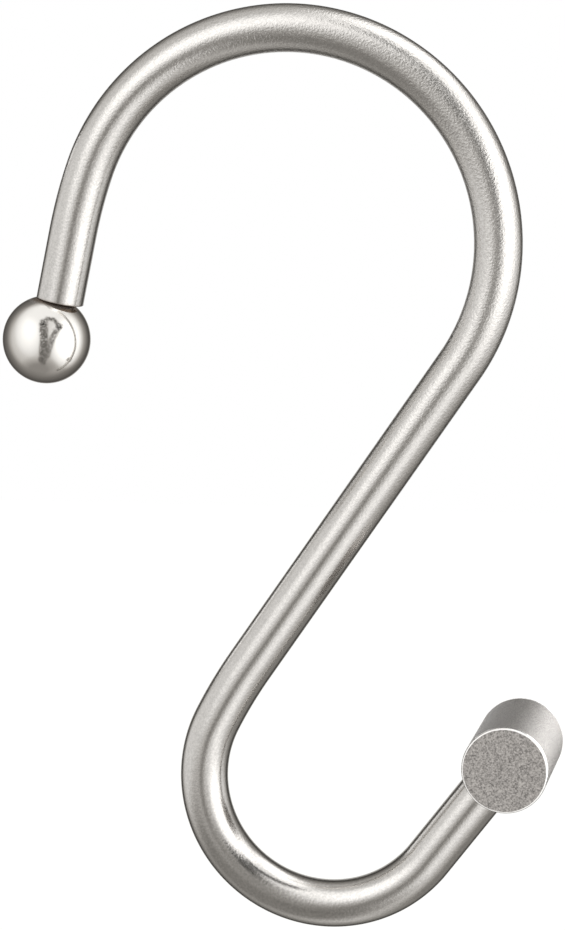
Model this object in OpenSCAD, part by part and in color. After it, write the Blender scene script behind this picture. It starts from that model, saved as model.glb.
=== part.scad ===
// Shower curtain hook: one bent round wire, with a ball welded on its upper end
// and a short crossbar on its lower end. All sizes are in millimetres.
// +Z is up, the wire lies in the XZ plane and the crossbar runs along Y.
// The origin is the inner crown of the top bend, which rests on the curtain rod.

/* [Wire] */
// Diameter of the round wire
wire_d = 4; // [3:0.1:5]

/* [Top bend] */
// Inner diameter of the bend that hangs on the curtain rod
rod_bend_d = 31.3; // [27:0.1:36]
// Angle of the straight tip from the vertical, in degrees
tip_angle = 11.5; // [5:0.5:25]
// Length of the straight tip, down to the ball
tip_l = 5.8; // [2:0.1:12]

/* [Shank] */
// Angle of the straight shank from the vertical, in degrees
shank_angle = 34.5; // [25:0.5:42]
// Length of the straight shank between the two bends
shank_l = 31.1; // [24:0.1:40]

/* [Bottom bend] */
// Inner diameter of the bend that carries the curtain
curtain_bend_d = 17.4; // [14:0.1:22]
// Angle of the straight tail from the vertical, in degrees
tail_angle = 37.5; // [25:0.5:50]
// Length of the straight tail, up to the crossbar's surface
tail_l = 8; // [4:0.1:14]

/* [Easing arcs] */
// Centreline radius of the slack arc that eases the wire into a bend
ease_r = 41; // [25:1:60]
// Angle that each slack arc turns through, in degrees
ease_angle = 7.7; // [4:0.1:12]

/* [Ball] */
// Diameter of the ball
ball_d = 7.4; // [5.5:0.1:10]
// Diameter of the ball's flat, where it is welded to the wire's cut end
weld_flat_d = 3; // [1.5:0.1:3]

/* [Crossbar] */
// Diameter of the crossbar
bar_d = 7.15; // [6:0.05:10]
// Length of the crossbar
bar_l = 13; // [9:0.5:20]
// Rounding of the crossbar's two rims
bar_rim_r = 0.3; // [0.1:0.05:0.8]
// Depth of the blind socket that takes the wire
socket_depth = 3; // [1.5:0.1:4]

/* [Hidden] */
$fn = 96;
satin_nickel = "#C9C4BA";
polished_nickel = "#D8D2C8";
blasted_nickel = "#B4B0A9";

// Centreline radii of the two bends
rod_bend_r = (rod_bend_d + wire_d) / 2;
curtain_bend_r = (curtain_bend_d + wire_d) / 2;

// The wire in two runs from the crown of the top bend, each a list of [size, turn] stretches:
// a turn of 0 is a straight of that length, and any other turn is an arc of that radius,
// to the left where it is positive
tip_run = [
    [rod_bend_r, 90 - tip_angle - ease_angle],
    [ease_r, ease_angle],
    [tip_l, 0],
];
tail_run = [
    [rod_bend_r, -90 - shank_angle],
    [shank_l, 0],
    [ease_r, ease_angle],
    [curtain_bend_r, 180 + shank_angle - tail_angle - ease_angle],
    [tail_l + socket_depth, 0],
];

// Each arc is drawn from both its ends and a little past its middle,
// so that it meets the stretches before and after it face to face
arc_share = 0.6;

// The ball's flat lies on the wire's cut end and touches its outer edge
ball_seat = sqrt(pow(ball_d, 2) - pow(weld_flat_d, 2)) / 2;
ball_shift = (wire_d - weld_flat_d) / 2;

// Stands a layout in X and Y up in the XZ plane, with its origin at the wire's crown
module from_crown(heading) {
    rotate([90, 0, 0]) translate([0, wire_d / 2]) rotate(heading) children();
}

// Puts its children at the far end of one stretch, with their X along the wire there
module past(stretch) {
    size = stretch[0];
    turn = stretch[1];
    side = [0, sign(turn) * size];
    if (turn == 0) translate([size, 0]) children();
    else translate(side) rotate(turn) translate(-side) children();
}

// Puts its children at the far end of a run
module at_end(run, i = 0) {
    if (i == len(run)) children();
    else past(run[i]) at_end(run, i + 1) children();
}

module straight_wire(length) {
    rotate([0, 90, 0]) cylinder(d = wire_d, h = length);
}

module bent_wire(radius, turn) {
    translate([0, sign(turn) * radius])
        rotate_extrude(angle = abs(turn), start = turn > 0 ? -90 : 90 + turn)
            translate([radius, 0]) circle(d = wire_d);
}

module wire_stretch(stretch) {
    size = stretch[0];
    drawn_turn = arc_share * stretch[1];
    if (drawn_turn == 0) straight_wire(size);
    else {
        bent_wire(size, drawn_turn);
        past(stretch) rotate(180) bent_wire(size, -drawn_turn);
    }
}

module wire_run(run, i = 0) {
    if (i < len(run)) {
        wire_stretch(run[i]);
        past(run[i]) wire_run(run, i + 1);
    }
}

// Bar along Z, centred on the origin, with both rims rounded
module rounded_bar(diameter, length, rim_r) {
    rotate_extrude() {
        translate([0, -length / 2]) square([diameter / 2 - rim_r, length]);
        translate([0, rim_r - length / 2]) square([diameter / 2, length - 2 * rim_r]);
        for (end = [-1, 1])
            translate([diameter / 2 - rim_r, end * (length / 2 - rim_r)]) circle(rim_r);
    }
}

// Bent wire, from its cut end at the ball to its end inside the crossbar
module hook_wire() {
    color(satin_nickel) {
        from_crown(180) wire_run(tip_run);
        from_crown(0) wire_run(tail_run);
    }
}

// Ball with the flat that is welded to the wire's cut end
module ball_tip() {
    color(polished_nickel) from_crown(180) at_end(tip_run)
        translate([0, -ball_shift]) difference() {
            translate([ball_seat, 0]) sphere(d = ball_d);
            translate([-ball_d, -ball_d / 2, -ball_d / 2]) cube(ball_d);
        }
}

// Crossbar with the blind socket that takes the wire's end
module crossbar() {
    color(blasted_nickel) from_crown(0) at_end(tail_run)
        difference() {
            translate([bar_d / 2 - socket_depth, 0]) rounded_bar(bar_d, bar_l, bar_rim_r);
            translate([-bar_d, 0]) straight_wire(bar_d);
        }
}

hook_wire();
ball_tip();
crossbar();
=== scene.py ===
"""Looks of a shower curtain hook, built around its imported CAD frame.

A wire in satin nickel is bent to an open S, with a polished ball welded on its tip
and a bead-blasted crossbar on its tail. Everything is in metres and in the CAD frame:
+Z is up as the hook hangs, the wire lies in the XZ plane, the crossbar runs along Y,
and the origin is the inner crown of the top bend.
"""
from math import acos, atan2, cos, degrees, hypot, pi, radians, sin, sqrt

import bmesh
import bpy
from bpy.props import (
    FloatProperty,
    FloatVectorProperty,
    IntProperty,
    PointerProperty,
    StringProperty,
)
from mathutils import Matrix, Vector, noise


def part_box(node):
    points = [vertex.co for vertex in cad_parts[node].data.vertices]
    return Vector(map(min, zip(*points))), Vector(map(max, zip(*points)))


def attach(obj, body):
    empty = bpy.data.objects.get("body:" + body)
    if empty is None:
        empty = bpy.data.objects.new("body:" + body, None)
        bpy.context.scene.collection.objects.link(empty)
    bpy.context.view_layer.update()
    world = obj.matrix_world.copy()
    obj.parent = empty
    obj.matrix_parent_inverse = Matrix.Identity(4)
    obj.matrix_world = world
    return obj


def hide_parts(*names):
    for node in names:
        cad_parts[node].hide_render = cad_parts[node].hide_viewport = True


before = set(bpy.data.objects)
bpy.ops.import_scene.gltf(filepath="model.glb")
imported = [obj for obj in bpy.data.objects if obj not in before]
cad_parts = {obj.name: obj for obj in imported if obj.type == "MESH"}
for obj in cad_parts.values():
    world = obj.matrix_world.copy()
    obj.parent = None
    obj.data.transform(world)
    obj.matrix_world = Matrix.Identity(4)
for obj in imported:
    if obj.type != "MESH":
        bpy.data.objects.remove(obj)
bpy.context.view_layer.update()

bl_info = {
    "name": "Shower Curtain Hook",
    "version": (1, 0, 0),
    "blender": (4, 5, 0),
    "location": "3D View > Sidebar > Hook",
    "description": "Builds a wire curtain hook with its ball, its crossbar and its stage",
    "category": "Object",
}

MM = 0.001
BODY = "root"
# A built piece may differ from its CAD node by this much on any side
FIT = 0.05 * MM


# ---------------------------------------------------------------- shared helpers

def linear(hex_colour):
    """Linear RGBA of an sRGB hex colour such as "CECBC7"."""
    channels = [int(hex_colour[i:i + 2], 16) / 255 for i in (0, 2, 4)]
    return [c / 12.92 if c <= 0.04045 else ((c + 0.055) / 1.055) ** 2.4 for c in channels] + [1.0]


def add_node(tree, kind, inputs=None, **settings):
    """Adds a node; each of its inputs is given as a value or as another node's output."""
    node = tree.nodes.new(kind)
    for name, value in settings.items():
        setattr(node, name, value)
    for key, value in (inputs or {}).items():
        if isinstance(value, bpy.types.NodeSocket):
            tree.links.new(value, node.inputs[key])
        else:
            node.inputs[key].default_value = value
    return node


def new_material(name):
    """A material, and its node tree with nothing in it."""
    material = bpy.data.materials.new(name)
    material.use_nodes = True
    material.node_tree.nodes.clear()
    return material, material.node_tree


def new_piece(name, mesh, material):
    """Links an object with this mesh and material, in place at the origin."""
    mesh.materials.clear()
    mesh.materials.append(material)
    piece = bpy.data.objects.new(name, mesh)
    bpy.context.scene.collection.objects.link(piece)
    return piece


def fit_to_node(piece, node):
    """Stops the operator if the piece doesn't fill the box of the CAD node it stands for."""
    corners = [Vector(corner) for corner in piece.bound_box]
    for pick, cad_corner in zip((min, max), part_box(node)):
        for axis in range(3):
            gap = abs(pick(c[axis] for c in corners) - cad_corner[axis])
            if gap > FIT:
                raise ValueError(f"{piece.name} is {gap / MM:.3f} mm off {node} on axis {axis}")


def node_centre(node):
    """Middle of a CAD node's box."""
    low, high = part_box(node)
    return (low + high) / 2


def stand_for(piece, node):
    """Checks that a finished piece fills its CAD node's box, hangs it on the body and hides the node
    it replaces.
    """
    fit_to_node(piece, node)
    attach(piece, BODY)
    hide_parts(node)


def clamped(share):
    """A share, kept between nothing and the whole."""
    return max(0.0, min(1.0, share))


def eased(levels, at):
    """The value at one place of a list of (place, value), which is level past both ends."""
    value = levels[0][1]
    for (start, low), (end, high) in zip(levels, levels[1:]):
        value += (high - low) * clamped((at - start) / (end - start))
    return value


def fading(width, whole_to, gone_at):
    """Levels of a line that is whole and then gone at these shares of its width."""
    return [(whole_to * width, 1.0), (gone_at * width, 0.0)]


def mark_points(mesh, mark, values):
    """Gives each point of a mesh its share of a mark that the materials read."""
    mesh.attributes.new(mark, "FLOAT", "POINT").data.foreach_set("value", values)


def turned_mesh(name, profile, centre, axis, sides):
    """Lathe work: (height, radius) points from pole to pole, turned about an axis.

    The faces come in rings, from the first pole to the last."""
    axis = axis.normalized()
    across = axis.orthogonal().normalized()
    aside = axis.cross(across)
    work = bmesh.new()
    rings = []
    for height, radius in profile:
        foot = centre + axis * height
        count = sides if radius > 0 else 1
        turns = [2 * pi * i / sides for i in range(count)]
        rings.append([
            work.verts.new(foot + (across * cos(turn) + aside * sin(turn)) * radius)
            for turn in turns
        ])
    for low, high in zip(rings, rings[1:]):
        for i in range(sides):
            j = (i + 1) % sides
            corners = [low[i % len(low)], low[j % len(low)]]
            corners += [high[j % len(high)], high[i % len(high)]]
            # A ring at a pole is one point, which a face takes only once
            face = work.faces.new(list(dict.fromkeys(corners)))
            face.smooth = True
    bmesh.ops.recalc_face_normals(work, faces=work.faces)
    mesh = bpy.data.meshes.new(name)
    work.to_mesh(mesh)
    work.free()
    return mesh


# ---------------------------------------------------------------- finishes

# The weld's heat leaves a brown tint round the joint of ball and wire, which also paints the joint's
# shade
WELD_TINT_AND_JOINT_SHADE = "7E7166"
# The wire's grain is fresh up to one distance from this point, which lies up and right of the
# top bend's middle, and worn from the other distance on
FRESH_PLACE = (12 * MM, 0.0, -8 * MM)
FRESH_TO = 14 * MM
WORN_FROM = 34 * MM
# A Mix node's sockets for numbers and for colours share their names, so they go by number
NUMBER_A = 2
NUMBER_B = 3
COLOUR_A = 6
COLOUR_B = 7
MIXED_COLOUR = 2


def noise_scale(grain):
    """Scale of a noise in which each cell holds one dent and one bump of this grain."""
    return 1 / (grain * 2)


def speckled_with_painted_glints_and_shade(tree, grain, colour, dark, light):
    """A plate's colour, painted darker in the hollows of its grain as shade and lighter on its tops
    as glints.
    """
    glint_and_shade = add_node(tree, "ShaderNodeMapRange", {
        "Value": grain, "From Min": 0.35, "From Max": 0.65, "To Min": dark, "To Max": light})
    scaled = add_node(tree, "ShaderNodeVectorMath", {
        0: linear(colour)[:3], "Scale": glint_and_shade.outputs["Result"]}, operation="SCALE")
    return scaled.outputs[0]


def weld_tint_and_joint_shade(tree, colour):
    """Colour and metallic share of a plate, with the weld's tint and the joint's painted shade over
    it.
    """
    weld = add_node(tree, "ShaderNodeAttribute", attribute_name="weld").outputs["Fac"]
    tinted = add_node(tree, "ShaderNodeMix", {
        0: weld, COLOUR_A: colour, COLOUR_B: linear(WELD_TINT_AND_JOINT_SHADE)}, data_type="RGBA")
    # Weld scale is a dull brown oxide over the metal; the duller brown here also paints the joint's
    # shade
    bare = add_node(tree, "ShaderNodeMapRange", {"Value": weld, "To Min": 1.0, "To Max": 0.55})
    return tinted.outputs[MIXED_COLOUR], bare.outputs["Result"]


def satin_nickel(finish):
    """Satin nickel plate on drawn wire, tumbled before plating: warm grey metal that blurs
    what it mirrors into soft bands, with a fine grain that sparkles where light meets dark,
    and with painted glints and painted shade speckled into its colour by that grain."""
    material, tree = new_material("Satin nickel plate")
    place = add_node(tree, "ShaderNodeTexCoord").outputs["Object"]
    # Tumbling leaves dents finer than a tenth of a millimetre, drawn that coarse to show
    dents = add_node(tree, "ShaderNodeTexNoise", {
        "Vector": place, "Scale": noise_scale(finish.grain), "Detail": 3, "Roughness": 0.6})
    # Handling has rubbed the wire smoother away from the right of its top bend
    from_fresh = add_node(tree, "ShaderNodeVectorMath", {
        0: place, 1: FRESH_PLACE}, operation="DISTANCE")
    grainy = add_node(tree, "ShaderNodeMapRange", {
        "Value": from_fresh.outputs["Value"], "From Min": FRESH_TO, "From Max": WORN_FROM,
        "To Min": 1.4, "To Max": 0.4})
    patches = add_node(tree, "ShaderNodeTexNoise", {
        "Vector": place, "Scale": 1 / (4 * MM), "Detail": 2})
    roughness = add_node(tree, "ShaderNodeMapRange", {
        "Value": patches.outputs["Fac"], "From Min": 0.3, "From Max": 0.7,
        "To Min": finish.roughness - 0.02, "To Max": finish.roughness + 0.02})
    # The grain speckles the plate's colour with painted shade in its dents and painted glints on its
    # tops
    plate = speckled_with_painted_glints_and_shade(tree, dents.outputs["Fac"], finish.colour, 0.9, 1.08)
    colour, metallic = weld_tint_and_joint_shade(tree, plate)
    bump = add_node(tree, "ShaderNodeBump", {
        "Height": dents.outputs["Fac"], "Strength": grainy.outputs["Result"],
        "Distance": finish.depth})
    shader = add_node(tree, "ShaderNodeBsdfPrincipled", {
        "Base Color": colour, "Metallic": metallic,
        "Roughness": roughness.outputs["Result"], "Normal": bump.outputs["Normal"]})
    add_node(tree, "ShaderNodeOutputMaterial", {"Surface": shader.outputs["BSDF"]})
    return material


def polished_nickel(finish):
    """Polished nickel plate on a turned ball: a slightly warm mirror with soft edges in it,
    and faint ripples left by the buffing wheel."""
    material, tree = new_material("Polished nickel plate")
    place = add_node(tree, "ShaderNodeTexCoord").outputs["Object"]
    ripples = add_node(tree, "ShaderNodeTexNoise", {
        "Vector": place, "Scale": 1 / finish.grain, "Detail": 2, "Roughness": 0.5})
    roughness = add_node(tree, "ShaderNodeMapRange", {
        "Value": ripples.outputs["Fac"], "From Min": 0.3, "From Max": 0.7,
        "To Min": finish.roughness - 0.01, "To Max": finish.roughness + 0.02})
    bump = add_node(tree, "ShaderNodeBump", {
        "Height": ripples.outputs["Fac"], "Strength": 1.0, "Distance": finish.depth})
    colour, metallic = weld_tint_and_joint_shade(tree, linear(finish.colour))
    shader = add_node(tree, "ShaderNodeBsdfPrincipled", {
        "Base Color": colour, "Metallic": metallic,
        "Roughness": roughness.outputs["Result"], "Normal": bump.outputs["Normal"]})
    add_node(tree, "ShaderNodeOutputMaterial", {"Surface": shader.outputs["BSDF"]})
    return material


def blasted_nickel(finish):
    """Nickel plate on a bead-blasted bar whose rims were deburred bright: an even grey with fine
    specks of painted glints and painted shade, framed by a thin shiny line round each end."""
    material, tree = new_material("Bead-blasted nickel plate")
    place = add_node(tree, "ShaderNodeTexCoord").outputs["Object"]
    # Beads leave pits of a few hundredths of a millimetre, drawn coarser to show
    pits = add_node(tree, "ShaderNodeTexNoise", {
        "Vector": place, "Scale": noise_scale(finish.grain), "Detail": 4, "Roughness": 0.7})
    # The deburred rim is smooth, and its edge wanders a little
    wander = add_node(tree, "ShaderNodeTexNoise", {
        "Vector": place, "Scale": 1 / (0.5 * MM), "Detail": 3})
    rim = add_node(tree, "ShaderNodeAttribute", attribute_name="rim")
    edge = add_node(tree, "ShaderNodeMath", {
        0: wander.outputs["Fac"], 1: 0.6, 2: rim.outputs["Fac"]}, operation="MULTIPLY_ADD")
    bright = add_node(tree, "ShaderNodeMapRange", {
        "Value": edge.outputs[0], "From Min": 0.65, "From Max": 0.9,
        "To Min": 0.0, "To Max": 1.0})
    pitted = add_node(tree, "ShaderNodeMapRange", {
        "Value": pits.outputs["Fac"], "From Min": 0.3, "From Max": 0.7,
        "To Min": finish.roughness - 0.06, "To Max": finish.roughness + 0.06})
    roughness = add_node(tree, "ShaderNodeMix", {
        0: bright.outputs["Result"], NUMBER_A: pitted.outputs["Result"],
        NUMBER_B: finish.rim_roughness})
    depth = add_node(tree, "ShaderNodeMapRange", {
        "Value": bright.outputs["Result"], "To Min": 1.0, "To Max": 0.4})
    # The grain speckles the plate's colour strongly, with painted shade in its pits and painted
    # glints on its tops
    plate = speckled_with_painted_glints_and_shade(tree, pits.outputs["Fac"], finish.colour, 0.42, 1.58)
    colour = add_node(tree, "ShaderNodeMix", {
        0: bright.outputs["Result"], COLOUR_A: plate, COLOUR_B: linear(finish.rim_colour)},
        data_type="RGBA")
    bump = add_node(tree, "ShaderNodeBump", {
        "Height": pits.outputs["Fac"], "Strength": depth.outputs["Result"],
        "Distance": finish.depth})
    shader = add_node(tree, "ShaderNodeBsdfPrincipled", {
        "Base Color": colour.outputs[MIXED_COLOUR], "Metallic": 1.0,
        "Roughness": roughness.outputs[0], "Normal": bump.outputs["Normal"]})
    add_node(tree, "ShaderNodeOutputMaterial", {"Surface": shader.outputs["BSDF"]})
    return material


# ---------------------------------------------------------------- sizes

def colour_prop(default, name="Colour"):
    return StringProperty(
        name=name, description="Reflected colour as sRGB hex", default=default)


def roughness_prop(default, name="Roughness"):
    return FloatProperty(
        name=name, description="Mean roughness of the plate", default=default,
        min=0.0, max=1.0, subtype="FACTOR")


def grain_prop(default):
    return FloatProperty(
        name="Grain", description="Spacing of the grain", default=default,
        min=0.01 * MM, unit="LENGTH", precision=6)


def depth_prop(default):
    return FloatProperty(
        name="Grain Depth", description="Depth of the grain", default=default,
        min=0.0, unit="LENGTH", precision=6)


class WireFinish(bpy.types.PropertyGroup):
    """Satin plate on the wire"""

    colour: colour_prop("CECBC7")
    roughness: roughness_prop(0.17)
    grain: grain_prop(0.1 * MM)
    depth: depth_prop(0.026 * MM)


class BallFinish(bpy.types.PropertyGroup):
    """Polished plate on the ball"""

    colour: colour_prop("E8E5E0")
    roughness: roughness_prop(0.12)
    grain: grain_prop(1.2 * MM)
    depth: depth_prop(0.0006 * MM)


class CrossbarFinish(bpy.types.PropertyGroup):
    """Bead-blasted plate on the crossbar"""

    colour: colour_prop("96928E")
    rim_colour: colour_prop("EFEDEA", "Rim Colour")
    roughness: roughness_prop(0.42)
    rim_roughness: roughness_prop(0.12, "Rim Roughness")
    grain: grain_prop(0.07 * MM)
    depth: depth_prop(0.05 * MM)


class WireSizes(bpy.types.PropertyGroup):
    """Sizes of the bent wire, as in the part's source"""

    wire_d: FloatProperty(
        name="Wire Diameter", description="Diameter of the round wire",
        default=4 * MM, unit="LENGTH", precision=5)
    rod_bend_d: FloatProperty(
        name="Top Bend", description="Inner diameter of the bend that hangs on the rod",
        default=31.3 * MM, unit="LENGTH", precision=5)
    tip_angle: FloatProperty(
        name="Tip Angle", description="Angle of the straight tip from the vertical",
        default=radians(11.5), subtype="ANGLE")
    tip_l: FloatProperty(
        name="Tip Length", description="Length of the straight tip, down to the ball",
        default=5.8 * MM, unit="LENGTH", precision=5)
    shank_angle: FloatProperty(
        name="Shank Angle", description="Angle of the straight shank from the vertical",
        default=radians(34.5), subtype="ANGLE")
    shank_l: FloatProperty(
        name="Shank Length", description="Length of the straight shank",
        default=31.1 * MM, unit="LENGTH", precision=5)
    curtain_bend_d: FloatProperty(
        name="Bottom Bend", description="Inner diameter of the bend that carries the curtain",
        default=17.4 * MM, unit="LENGTH", precision=5)
    tail_angle: FloatProperty(
        name="Tail Angle", description="Angle of the straight tail from the vertical",
        default=radians(37.5), subtype="ANGLE")
    tail_l: FloatProperty(
        name="Tail Length", description="Length of the straight tail, with its end in the crossbar",
        default=11 * MM, unit="LENGTH", precision=5)
    ease_r: FloatProperty(
        name="Easing Radius", description="Centreline radius of the slack arcs",
        default=41 * MM, unit="LENGTH", precision=5)
    ease_angle: FloatProperty(
        name="Easing Turn", description="Angle that each slack arc turns through",
        default=radians(7.7), subtype="ANGLE")
    cut_edge: FloatProperty(
        name="Cut Edge", description="Rounding of the edge at the wire's cut end",
        default=0.08 * MM, unit="LENGTH", precision=6)
    steps: IntProperty(
        name="Steps", description="Points along the wire", default=604, min=50)
    sides: IntProperty(
        name="Sides", description="Points round the wire", default=64, min=8)


class BallSizes(bpy.types.PropertyGroup):
    """Sizes of the ball on the wire's tip"""

    flat_d: FloatProperty(
        name="Weld Flat", description="Diameter of the flat that is welded to the wire",
        default=3 * MM, unit="LENGTH", precision=5)
    tint_and_shade_turn: FloatProperty(
        name="Weld Tint", description="Angle from the ball's axis to the end of the weld's tint",
        default=radians(30.5), subtype="ANGLE")
    sides: IntProperty(
        name="Sides", description="Points round the ball", default=128, min=16)


class CrossbarSizes(bpy.types.PropertyGroup):
    """Sizes of the crossbar on the wire's tail"""

    rim_r: FloatProperty(
        name="Rim", description="Rounding of the crossbar's two rims",
        default=0.3 * MM, unit="LENGTH", precision=5)
    bright_w: FloatProperty(
        name="Bright Line", description="Width of the deburred line on the end's edge",
        default=0.15 * MM, unit="LENGTH", precision=6)
    sides: IntProperty(
        name="Sides", description="Points round the crossbar", default=128, min=16)


class StageSizes(bpy.types.PropertyGroup):
    """Camera and studio"""

    azimuth: FloatProperty(
        name="Azimuth", description="Turn of the camera round the hook, from the front",
        default=radians(9.98), subtype="ANGLE")
    elevation: FloatProperty(
        name="Elevation", description="Height of the camera above the horizon",
        default=radians(7.47), subtype="ANGLE")
    distance: FloatProperty(
        name="Distance", description="Distance of the camera from its aim",
        default=294.2 * MM, unit="LENGTH")
    aim: FloatVectorProperty(
        name="Aim", description="Point in the wire's plane that the camera looks at",
        default=(-0.31 * MM, 0.0, -34.24 * MM), subtype="TRANSLATION")
    lens: FloatProperty(
        name="Lens", description="Focal length for a sensor of 36 mm, in mm", default=136.4)
    floor_z: FloatProperty(
        name="Floor Height", description="Height of the floor, which lies below the hook",
        default=-0.62, unit="LENGTH")
    floor_reach: FloatProperty(
        name="Floor Reach", description="Distance from the floor's middle to its edges",
        default=4.0, unit="LENGTH")
    world_light: FloatProperty(
        name="World Light", description="Strength of the white world", default=1.0, min=0.0)


class HookSettings(bpy.types.PropertyGroup):
    """All sizes and finishes of the hook and its stage"""

    wire: PointerProperty(type=WireSizes)
    ball: PointerProperty(type=BallSizes)
    crossbar: PointerProperty(type=CrossbarSizes)
    stage: PointerProperty(type=StageSizes)
    wire_finish: PointerProperty(type=WireFinish)
    ball_finish: PointerProperty(type=BallFinish)
    crossbar_finish: PointerProperty(type=CrossbarFinish)


# ---------------------------------------------------------------- wire

LAST_BEFORE_CROWN = "Top Bend to Crown"
EDGE_SEGMENTS = 3
# Points this near the middle of the cut end belong to it
CUT_END_REACH = 3 * MM
# The weld's tint, which also paints the joint's shade, has faded out this many edge widths from the
# cut face
TINT_AND_SHADE_EDGES = 1.4


def wire_stretches(sizes):
    """The wire from its cut end at the ball: each stretch's name, length and left turn."""
    rod_r = (sizes.rod_bend_d + sizes.wire_d) / 2
    curtain_r = (sizes.curtain_bend_d + sizes.wire_d) / 2
    ease_l = sizes.ease_r * sizes.ease_angle
    tip_turn = pi / 2 - sizes.tip_angle - sizes.ease_angle
    shank_turn = pi / 2 + sizes.shank_angle
    curtain_turn = pi + sizes.shank_angle - sizes.tail_angle - sizes.ease_angle
    return [
        ("Tip", sizes.tip_l, 0.0),
        ("Tip Easing", ease_l, -sizes.ease_angle),
        (LAST_BEFORE_CROWN, rod_r * tip_turn, -tip_turn),
        ("Top Bend from Crown", rod_r * shank_turn, -shank_turn),
        ("Shank", sizes.shank_l, 0.0),
        ("Shank Easing", ease_l, sizes.ease_angle),
        ("Bottom Bend", curtain_r * curtain_turn, curtain_turn),
        ("Tail", sizes.tail_l, 0.0),
    ]


def bent_wire_tree(stretches):
    """Geometry Nodes: a round wire that follows straights and arcs, with its crown at the origin."""
    tree = bpy.data.node_groups.new("Bent wire", "GeometryNodeTree")
    tree.is_modifier = True
    face = tree.interface
    for name in ["Wire Diameter", "First Heading"]:
        face.new_socket(name, in_out="INPUT", socket_type="NodeSocketFloat")
    for name in ["Steps", "Sides"]:
        face.new_socket(name, in_out="INPUT", socket_type="NodeSocketInt")
    for name, _length, _turn in stretches:
        face.new_socket(name + " Length", in_out="INPUT", socket_type="NodeSocketFloat")
        face.new_socket(name + " Turn", in_out="INPUT", socket_type="NodeSocketFloat")
    face.new_socket("Finish", in_out="INPUT", socket_type="NodeSocketMaterial")
    face.new_socket("Geometry", in_out="OUTPUT", socket_type="NodeSocketGeometry")
    given = add_node(tree, "NodeGroupInput").outputs

    # The whole length and the distance to the crown are sums of the stretches' lengths
    ends = [0.0]
    for name, _length, _turn in stretches:
        end = add_node(tree, "ShaderNodeMath", {0: ends[-1], 1: given[name + " Length"]})
        ends.append(end.outputs[0])
        if name == LAST_BEFORE_CROWN:
            crown = end.outputs[0]
    gaps = add_node(tree, "ShaderNodeMath", {0: given["Steps"], 1: 1.0}, operation="SUBTRACT")
    step = add_node(
        tree, "ShaderNodeMath", {0: ends[-1], 1: gaps.outputs[0]}, operation="DIVIDE").outputs[0]

    # Each point's way along the wire, taken at the middle of its step
    index = add_node(tree, "GeometryNodeInputIndex").outputs[0]
    half = add_node(tree, "ShaderNodeMath", {0: index, 1: 0.5})
    way = add_node(
        tree, "ShaderNodeMath", {0: half.outputs[0], 1: step}, operation="MULTIPLY").outputs[0]

    # The heading there: the first heading and the share of each turn that is behind the point
    heading = given["First Heading"]
    for (name, _length, turn), start, end in zip(stretches, ends, ends[1:]):
        if turn:
            share = add_node(tree, "ShaderNodeMapRange", {
                "Value": way, "From Min": start, "From Max": end,
                "To Min": 0.0, "To Max": given[name + " Turn"]}, clamp=True)
            heading = add_node(
                tree, "ShaderNodeMath", {0: heading, 1: share.outputs["Result"]}).outputs[0]
    run = add_node(tree, "ShaderNodeMath", {0: heading}, operation="COSINE")
    rise = add_node(tree, "ShaderNodeMath", {0: heading}, operation="SINE")
    unit = add_node(
        tree, "ShaderNodeCombineXYZ", {"X": run.outputs[0], "Z": rise.outputs[0]})
    stride = add_node(
        tree, "ShaderNodeVectorMath", {0: unit.outputs[0], "Scale": step}, operation="SCALE")
    walked = add_node(
        tree, "GeometryNodeAccumulateField", {"Value": stride.outputs[0]},
        data_type="FLOAT_VECTOR")

    points = add_node(
        tree, "GeometryNodeMeshLine", {"Count": given["Steps"], "Offset": (0.0, 0.0, 0.0)})
    laid = add_node(tree, "GeometryNodeSetPosition", {
        "Geometry": points.outputs["Mesh"], "Position": walked.outputs["Trailing"]})
    line = add_node(tree, "GeometryNodeMeshToCurve", {"Mesh": laid.outputs["Geometry"]})

    # The crown's inner side comes to the origin
    top = add_node(
        tree, "GeometryNodeSampleCurve", {"Curves": line.outputs["Curve"], "Length": crown},
        mode="LENGTH")
    radius = add_node(
        tree, "ShaderNodeMath", {0: given["Wire Diameter"], 1: 0.5}, operation="MULTIPLY")
    height = add_node(tree, "ShaderNodeCombineXYZ", {"Z": radius.outputs[0]})
    shift = add_node(
        tree, "ShaderNodeVectorMath", {0: height.outputs[0], 1: top.outputs["Position"]},
        operation="SUBTRACT")
    placed = add_node(tree, "GeometryNodeSetPosition", {
        "Geometry": line.outputs["Curve"], "Offset": shift.outputs[0]})

    section = add_node(
        tree, "GeometryNodeCurvePrimitiveCircle",
        {"Resolution": given["Sides"], "Radius": radius.outputs[0]}, mode="RADIUS")
    wire = add_node(tree, "GeometryNodeCurveToMesh", {
        "Curve": placed.outputs["Geometry"], "Profile Curve": section.outputs["Curve"],
        "Fill Caps": True})
    real = add_node(tree, "GeometryNodeRealizeInstances", {"Geometry": wire.outputs["Mesh"]})
    done = add_node(tree, "GeometryNodeSetMaterial", {
        "Geometry": real.outputs["Geometry"], "Material": given["Finish"]})
    add_node(tree, "NodeGroupOutput", {"Geometry": done.outputs["Geometry"]})
    return tree


def round_cut_end(mesh, point, width):
    """Rounds the edge of the flat cap nearest to a point, tints that cap where it was welded
    and paints the joint's shade there, and shades the wire smooth."""
    work = bmesh.new()
    work.from_mesh(mesh)
    caps = [face for face in work.faces if len(face.verts) > 4]
    cut = min(caps, key=lambda face: (face.calc_center_median() - point).length)
    seat = cut.calc_center_median()
    outward = cut.normal.copy()
    bmesh.ops.bevel(
        work, geom=list(cut.edges), offset=width, segments=EDGE_SEGMENTS, profile=0.5,
        affect="EDGES")
    for face in work.faces:
        face.smooth = len(face.verts) <= 4
    bmesh.ops.recalc_face_normals(work, faces=work.faces)
    work.to_mesh(mesh)
    work.free()
    tints = []
    for vertex in mesh.vertices:
        away = vertex.co - seat
        near = away.length < CUT_END_REACH
        # The weld mark is the weld's tint and also the joint's painted shade
        tints.append(clamped(1 - abs(away @ outward) / (TINT_AND_SHADE_EDGES * width)) if near else 0.0)
    mark_points(mesh, "weld", tints)


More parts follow.
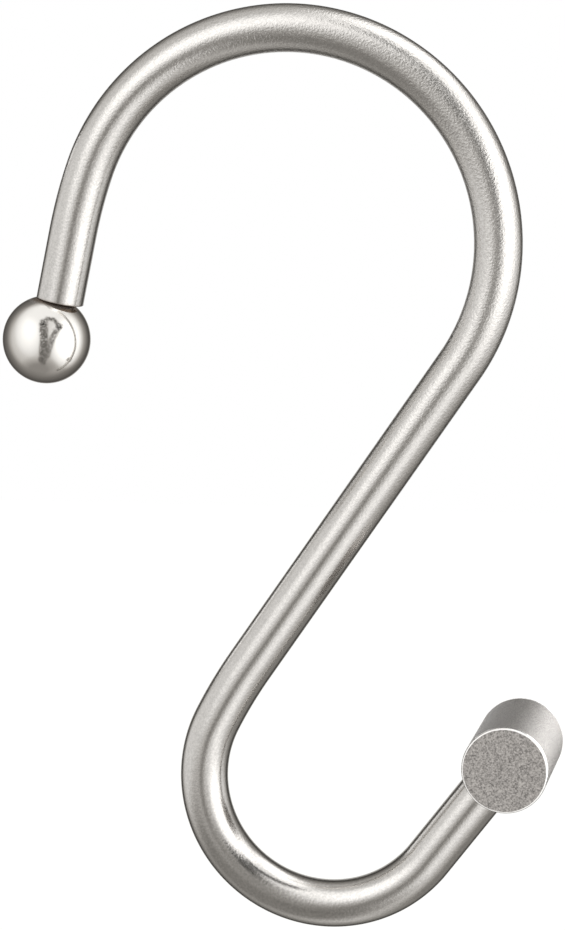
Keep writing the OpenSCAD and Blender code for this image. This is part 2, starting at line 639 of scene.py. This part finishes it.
class HOOK_OT_bent_wire(bpy.types.Operator):
    """Bend the wire from its tip at the ball to its end inside the crossbar"""

    bl_idname = "hook.bent_wire"
    bl_label = "Bent Wire"

    def execute(self, context):
        sizes = context.scene.hook.wire
        stretches = wire_stretches(sizes)
        finish = satin_nickel(context.scene.hook.wire_finish)
        tree = bent_wire_tree(stretches)
        values = {
            "Wire Diameter": sizes.wire_d,
            "First Heading": pi / 2 - sizes.tip_angle,
            "Steps": sizes.steps,
            "Sides": sizes.sides,
            "Finish": finish,
        }
        for name, length, turn in stretches:
            values[name + " Length"] = length
            values[name + " Turn"] = turn

        former = bpy.data.objects.new("wire_former", bpy.data.meshes.new("wire_former"))
        context.scene.collection.objects.link(former)
        modifier = former.modifiers.new("Bent wire", "NODES")
        modifier.node_group = tree
        for item in tree.interface.items_tree:
            if item.in_out == "INPUT":
                modifier[item.identifier] = values[item.name]
        evaluated = former.evaluated_get(context.evaluated_depsgraph_get())
        mesh = bpy.data.meshes.new_from_object(evaluated)
        mesh.name = "bent_wire"
        former.modifiers.remove(modifier)
        bpy.data.objects.remove(former)

        round_cut_end(mesh, node_centre("ball_tip"), sizes.cut_edge)
        stand_for(new_piece("bent_wire", mesh, finish), "hook_wire")
        return {"FINISHED"}


# ---------------------------------------------------------------- ball and crossbar

# Rings on the crossbar's end, by how far in from the barrel they lie
END_RINGS = [inset * MM for inset in (0.7, 0.6, 0.5, 0.4, 0.35)]
RIM_SEGMENTS = 8
# The barrel's first ring lies this many roundings in from the crossbar's end
BARREL_RING = 2.2
# A face is flat where its normal is within this much of the bar's direction
FLAT_WITHIN = 1e-4


class HOOK_OT_ball(bpy.types.Operator):
    """Turn the ball with the flat by which it is welded to the wire's cut end"""

    bl_idname = "hook.ball"
    bl_label = "Ball"

    def execute(self, context):
        sizes = context.scene.hook.ball
        low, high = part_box("ball_tip")
        # The flat cuts only the ball's top, so its width and its lowest point are whole
        ball_r = (high.y - low.y) / 2
        centre = Vector((low.x + ball_r, (low.y + high.y) / 2, low.z + ball_r))
        tip_angle = context.scene.hook.wire.tip_angle
        along_wire = Vector((sin(tip_angle), 0.0, cos(tip_angle)))
        seat = sqrt(ball_r ** 2 - (sizes.flat_d / 2) ** 2)
        first = atan2(sizes.flat_d / 2, seat)
        rings = sizes.sides // 2
        profile = [(seat, 0.0)]
        for i in range(rings):
            turn = first + (pi - first) * i / rings
            profile.append((ball_r * cos(turn), ball_r * sin(turn)))
        profile.append((-ball_r, 0.0))
        mesh = turned_mesh("ball", profile, centre, along_wire, sizes.sides)
        # The weld's tint, which also paints the joint's shade, ends softly a little way down from
        # the flat
        tint = fading(sizes.tint_and_shade_turn, 1.0, 1.15)
        turns = [(vertex.co - centre).angle(along_wire) for vertex in mesh.vertices]
        mark_points(mesh, "weld", [eased(tint, turn) for turn in turns])
        # The flat's own faces come first
        for polygon in mesh.polygons[:sizes.sides]:
            polygon.use_smooth = False
        finish = polished_nickel(context.scene.hook.ball_finish)
        stand_for(new_piece("ball", mesh, finish), "ball_tip")
        return {"FINISHED"}


class HOOK_OT_crossbar(bpy.types.Operator):
    """Turn the crossbar with its two rounded rims"""

    bl_idname = "hook.crossbar"
    bl_label = "Crossbar"

    def execute(self, context):
        sizes = context.scene.hook.crossbar
        low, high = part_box("crossbar")
        centre = node_centre("crossbar")
        half = (high.y - low.y) / 2
        bar_r = (high.z - low.z) / 2
        rim = sizes.rim_r
        # Half the outline, from the middle of one end to the barrel
        outline = [(half, 0.0)]
        outline += [(half, bar_r - inset) for inset in END_RINGS]
        for i in range(RIM_SEGMENTS + 1):
            turn = pi / 2 * i / RIM_SEGMENTS
            outline.append((half - rim + rim * cos(turn), bar_r - rim + rim * sin(turn)))
        outline.append((half - BARREL_RING * rim, bar_r))
        profile = outline + [(-height, radius) for height, radius in outline[::-1]]
        along_y = Vector((0.0, 1.0, 0.0))
        mesh = turned_mesh("crossbar", profile, centre, along_y, sizes.sides)
        # Deburring leaves a bright line that ends softly on the end's face and on the barrel
        on_face = fading(sizes.bright_w, 0.7, 1.3)
        on_barrel = fading(rim, 0.9, 1.2)
        shares = []
        for vertex in mesh.vertices:
            across, along, upward = vertex.co - centre
            inset = bar_r - hypot(across, upward)
            shares.append(eased(on_face, inset) * eased(on_barrel, half - abs(along)))
        mark_points(mesh, "rim", shares)
        for polygon in mesh.polygons:
            polygon.use_smooth = abs(abs(polygon.normal.y) - 1.0) > FLAT_WITHIN
        finish = blasted_nickel(context.scene.hook.crossbar_finish)
        stand_for(new_piece("crossbar_bar", mesh, finish), "crossbar")
        return {"FINISHED"}


# ---------------------------------------------------------------- stage

def view_axes(azimuth, elevation):
    """Right, up and back as the camera sees them."""
    right = Vector((cos(azimuth), sin(azimuth), 0.0))
    back = Vector((sin(azimuth) * cos(elevation), -cos(azimuth) * cos(elevation), sin(elevation)))
    return right, back.cross(right), back


# The cloth tents that light the pieces. A place on a tent is given in degrees right of and above
# the camera, as seen from the tent's middle, and a level of light of 1 is white.
#   distance  from the tent's middle to its cloth, in metres
#   cloth     the cloth's level, by how many degrees it lies from the camera
#   lamps     a name, a place, half a width and half a height, a lean to the left, the share of
#             the lamp that fades out, and its level
#   rear      the level by the angle from the camera, which takes over from rear_from on
#   stands    a name, the places that a dark stand follows, half a width, the share of it that
#             fades out, and its level
#   mottle    how much the cables and clamps on the stands break their outlines
#   rows      rings of the cloth's faces, from the camera's side to the far side
#   shade     the colour of its light where it is dim
WIRE_TENT = {
    "distance": 0.5,
    "cloth": [(60, 0.8), (95, 0.75), (120, 0.3)],
    "lamps": [
        ("broad lamp, left", -90, 0, 60, 70, 0, 0.6, 0.95),
        ("broad lamp, right", 80, -10, 50, 45, 0, 0.7, 1.1),
        ("dark floor, left", -40, -60, 60, 45, 0, 0.5, 0.3),
        ("dark floor, right", 65, -90, 60, 35, 0, 0.6, 0.3),
        ("soft lamp, left", -35, 25, 30, 40, -25, 0.6, 1.8),
        ("top lamp, middle", 0, 45, 40, 30, 0, 0.7, 1.6),
        ("soft lamp, right", 55, 10, 40, 60, -20, 0.4, 2.0),
        ("top lamp, right", 40, 75, 45, 30, 0, 0.4, 2.0),
        ("floor glow, right", 25, -40, 35, 20, 0, 0.7, 1.4),
        ("strip lamp, far left", -115, 50, 10, 10, 0, 0.5, 1.8),
    ],
    "rear_from": 122,
    "rear": [(138, 0.05), (150, 0.1), (165, 0.7)],
    "stands": [
        ("leaning stand", [(-20, -50), (-15, -20), (5, 5)], 15, 1.0, 0.25),
        ("camera", [(5, 0), (25, 25), (5, 50)], 8, 0.4, 0.0),
    ],
    "mottle": 0.0,
    "rows": 100,
    "shade": "FFFAF2",
}
BALL_TENT = {
    "distance": 0.4,
    "cloth": [(60, 0.6), (95, 0.5), (120, 0.3)],
    "lamps": [
        ("broad lamp, left", -50, 12, 76, 92, 0, 0.7, 0.9),
        ("broad lamp, right", 66, 4, 76, 104, 0, 0.6, 0.95),
        ("soft lamp, left", -42, 25, 50, 76, 0, 0.7, 1.35),
        ("soft lamp, right", 60, -2, 56, 90, 0, 0.6, 1.6),
        ("top lamp", 0, 76, 66, 40, 0, 0.5, 1.1),
        ("dark floor", -26, -88, 66, 44, 8, 0.6, 0.3),
    ],
    "rear_from": 98,
    "rear": [(150, 0.08), (158, 0.1), (172, 0.7)],
    "stands": [
        ("cable", [(8, -5), (14, 44)], 14, 0.7, 0.9),
        ("post", [(-9, -60), (-3, -5), (-5, 40)], 13, 0.35, 0.13),
        ("arm", [(3, -45), (18, 0), (36, 32)], 10, 0.45, 0.16),
        ("bracket", [(-8, 42), (4, 54), (22, 52), (37, 34)], 7, 0.5, 0.08),
        ("left knob", [(-8, 40), (-8, 44)], 9, 0.4, 0.03),
        ("right knob", [(35, 30), (39, 33)], 10, 0.4, 0.03),
    ],
    "mottle": 2.2,
    "rows": 150,
    "shade": "FFF8F0",
}
CROSSBAR_TENT = {
    "distance": 0.45,
    "cloth": [(10, 0.95), (45, 1.25), (105, 1.2), (130, 0.1)],
    "lamps": [
        ("rear lamp, right", 112, 42, 66, 100, 0, 0.7, 3.9),
    ],
    "rear_from": 156,
    "rear": [(168, 1.5)],
    "stands": [
        ("dark edge", [(112, -60), (124, 0), (104, 62), (60, 108)], 13, 0.5, 0.05),
    ],
    "mottle": 0.0,
    "rows": 100,
    "shade": "FFFAF2",
}


# Degrees between the cables and clamps on a stand
CLAMP_GAP = 2.5
# Black cloth round all tents, in metres from its middle
DRAPE_DISTANCE = 0.55
DRAPE_ROWS = 24


def tent_level(tent, across, upward):
    """Level of a tent's cloth this many degrees right of and above the camera."""
    from_camera = hypot(across, upward)
    level = eased(tent["cloth"], from_camera)
    for _name, right, up, wide, tall, lean, soft, lamp in tent["lamps"]:
        cos_lean = cos(radians(lean))
        sin_lean = sin(radians(lean))
        x = across - right
        y = upward - up
        reach = hypot((x * cos_lean + y * sin_lean) / wide, (y * cos_lean - x * sin_lean) / tall)
        level += (lamp - level) * clamped((1 - reach) / soft)
    level = eased([(tent["rear_from"], level)] + tent["rear"], from_camera)
    here = Vector((across, upward))
    # Cables and clamps break a stand's outline every few degrees
    place = Vector((across, upward, CLAMP_GAP / 2)) / CLAMP_GAP
    worn = 1 + tent["mottle"] * noise.noise(place)
    for _name, path, wide, soft, dark in tent["stands"]:
        gap = wide
        for foot, head in zip(map(Vector, path), map(Vector, path[1:])):
            way = head - foot
            share = clamped((here - foot) @ way / way.length_squared)
            gap = min(gap, (here - foot - way * share).length)
        level += (dark - level) * clamped(worn * (1 - gap / wide) / soft)
    return level


def tent_mesh(name, centre, axes, distance, rows):
    """A sphere of cloth, with its poles towards the camera and away from it."""
    profile = [(distance, 0.0)]
    for i in range(1, rows):
        turn = pi * i / rows
        profile.append((distance * cos(turn), distance * sin(turn)))
    profile.append((-distance, 0.0))
    return turned_mesh(name, profile, centre, axes[2], 2 * rows)


def seen_in_metal_only(cloth):
    """Hides a cloth from the camera and from matt surfaces, so that only metal mirrors it."""
    for ray in ("camera", "shadow", "diffuse", "transmission"):
        setattr(cloth, "visible_" + ray, False)


class HOOK_OT_stage(bpy.types.Operator):
    """Set up the camera, the pale floor and the soft studio light"""

    bl_idname = "hook.stage"
    bl_label = "Stage"

    def execute(self, context):
        stage = context.scene.hook.stage
        axes = view_axes(stage.azimuth, stage.elevation)
        aim = Vector(stage.aim)
        self.camera(context, stage, aim, axes)
        self.floor(stage)
        self.world(context, stage)
        self.dark_drape(aim, axes)
        self.tent(WIRE_TENT, "bent_wire", aim, axes)
        self.tent(BALL_TENT, "ball", node_centre("ball_tip"), axes)
        self.tent(CROSSBAR_TENT, "crossbar_bar", node_centre("crossbar"), axes)
        return {"FINISHED"}

    def camera(self, context, stage, aim, axes):
        """The camera, turned to its aim."""
        lens = bpy.data.cameras.new("Camera")
        lens.lens = stage.lens
        lens.sensor_width = 36.0
        lens.clip_start = 0.01
        lens.clip_end = 20.0
        camera = bpy.data.objects.new("Camera", lens)
        context.scene.collection.objects.link(camera)
        camera.location = aim + axes[2] * stage.distance
        camera.rotation_mode = "QUATERNION"
        camera.rotation_quaternion = (-axes[2]).to_track_quat("-Z", "Y")
        context.scene.camera = camera
        context.scene.view_settings.view_transform = "Standard"

    def floor(self, stage):
        """A wide white board below the hook."""
        reach = stage.floor_reach
        z = stage.floor_z
        mesh = bpy.data.meshes.new("floor")
        mesh.from_pydata(
            [(-reach, -reach, z), (reach, -reach, z), (reach, reach, z), (-reach, reach, z)],
            [], [(0, 1, 2, 3)])
        material, tree = new_material("Matt white board")
        # The board keeps its shadow, and shows as pure white where none falls
        path = add_node(tree, "ShaderNodeLightPath").outputs
        lift = add_node(
            tree, "ShaderNodeMath", {0: path["Is Camera Ray"], 1: 0.15}, operation="MULTIPLY")
        matt = add_node(tree, "ShaderNodeBsdfDiffuse", {"Color": linear("F2F2F0")})
        glow = add_node(tree, "ShaderNodeEmission", {"Strength": lift.outputs[0]})
        both = add_node(tree, "ShaderNodeAddShader", {0: matt.outputs[0], 1: glow.outputs[0]})
        add_node(tree, "ShaderNodeOutputMaterial", {"Surface": both.outputs[0]})
        new_piece("floor", mesh, material)

    def world(self, context, stage):
        """Plain white light from all sides."""
        world = bpy.data.worlds.new("White studio")
        context.scene.world = world
        world.use_nodes = True
        tree = world.node_tree
        tree.nodes.clear()
        light = add_node(tree, "ShaderNodeBackground", {
            "Color": linear("FFFFFF"), "Strength": stage.world_light})
        add_node(tree, "ShaderNodeOutputWorld", {"Surface": light.outputs[0]})

    def dark_drape(self, aim, axes):
        """Black cloth round all tents, which keeps the white world out of the metal."""
        material, tree = new_material("Black cloth")
        black = add_node(tree, "ShaderNodeBsdfDiffuse", {"Color": linear("000000")})
        add_node(tree, "ShaderNodeOutputMaterial", {"Surface": black.outputs[0]})
        mesh = tent_mesh("dark_drape", aim, axes, DRAPE_DISTANCE, DRAPE_ROWS)
        seen_in_metal_only(new_piece("dark_drape", mesh, material))

    def tent(self, tent, piece, centre, axes):
        """A cloth tent that glows where the lamps stand behind it and lights one piece."""
        right, up, back = axes
        distance = tent["distance"]
        name = piece + "_tent"
        mesh = tent_mesh(name, centre, axes, distance, tent["rows"])
        levels = []
        for vertex in mesh.vertices:
            way = (vertex.co - centre) / distance
            side = hypot(way @ right, way @ up)
            turn = degrees(acos(max(-1.0, min(1.0, way @ back))))
            share = turn / side if side > 0 else 0.0
            levels.append(tent_level(tent, way @ right * share, way @ up * share))
        mark_points(mesh, "level", levels)

        material, tree = new_material("Lit tent cloth")
        level = add_node(tree, "ShaderNodeAttribute", attribute_name="level").outputs["Fac"]
        colour = add_node(tree, "ShaderNodeMix", {
            0: level, 6: linear(tent["shade"]), 7: linear("FFFFFF")}, data_type="RGBA")
        light = add_node(tree, "ShaderNodeEmission", {
            "Color": colour.outputs[2], "Strength": level})
        clear = add_node(tree, "ShaderNodeBsdfTransparent")
        both = add_node(tree, "ShaderNodeAddShader", {0: light.outputs[0], 1: clear.outputs[0]})
        add_node(tree, "ShaderNodeOutputMaterial", {"Surface": both.outputs[0]})

        cloth = new_piece(name, mesh, material)
        lit = bpy.data.collections.new("Lit by the " + name)
        lit.objects.link(bpy.data.objects[piece])
        cloth.light_linking.receiver_collection = lit
        seen_in_metal_only(cloth)


# ---------------------------------------------------------------- panel and registering

class HOOK_PT_sidebar(bpy.types.Panel):
    """Sizes, finishes and builders of the curtain hook"""

    bl_label = "Curtain Hook"
    bl_space_type = "VIEW_3D"
    bl_region_type = "UI"
    bl_category = "Hook"

    def draw(self, context):
        hook = context.scene.hook
        for operator, groups in [
            (HOOK_OT_bent_wire, (hook.wire, hook.wire_finish)),
            (HOOK_OT_ball, (hook.ball, hook.ball_finish)),
            (HOOK_OT_crossbar, (hook.crossbar, hook.crossbar_finish)),
            (HOOK_OT_stage, (hook.stage,)),
        ]:
            column = self.layout.box().column()
            column.operator(operator.bl_idname)
            for group in groups:
                for name in group.__annotations__:
                    column.prop(group, name)


CLASSES = (
    WireFinish,
    BallFinish,
    CrossbarFinish,
    WireSizes,
    BallSizes,
    CrossbarSizes,
    StageSizes,
    HookSettings,
    HOOK_OT_bent_wire,
    HOOK_OT_ball,
    HOOK_OT_crossbar,
    HOOK_OT_stage,
    HOOK_PT_sidebar,
)


def register():
    for cls in CLASSES:
        bpy.utils.register_class(cls)
    bpy.types.Scene.hook = PointerProperty(type=HookSettings)


def unregister():
    del bpy.types.Scene.hook
    for cls in reversed(CLASSES):
        bpy.utils.unregister_class(cls)


def main():
    register()
    bpy.ops.hook.bent_wire()
    bpy.ops.hook.ball()
    bpy.ops.hook.crossbar()
    bpy.ops.hook.stage()


if __name__ == "__main__":
    main()
